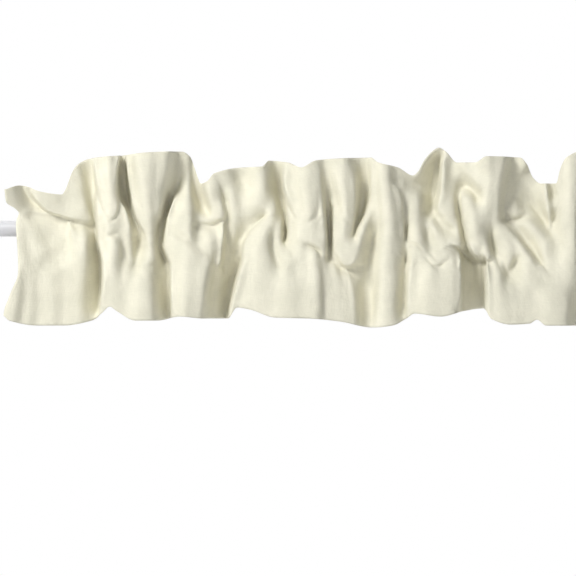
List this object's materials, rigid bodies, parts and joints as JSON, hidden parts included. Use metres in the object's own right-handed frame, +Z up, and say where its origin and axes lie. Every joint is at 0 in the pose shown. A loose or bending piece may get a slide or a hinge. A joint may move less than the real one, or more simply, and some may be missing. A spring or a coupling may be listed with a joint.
{
  "type": "window valance on a rod",
  "caption": "Short window valance of cream cotton, gathered on a plain round rod through a sewn pocket, with a ruffled heading above and a ruffled skirt below.",
  "frame": {"origin": "centre of the rod's left end face", "axes": "+X along the rod from its left end to its right end, -Y out of the front of the valance into the room, +Z up"},
  "size_m": [0.711, 0.0751, 0.18],
  "materials": {
    "valance": "matt woven cotton",
    "rod": "smooth pale enamel"
  },
  "bodies": {
    "root": {"valance": "valance", "rod": "rod"}
  },
  "joints": []
}
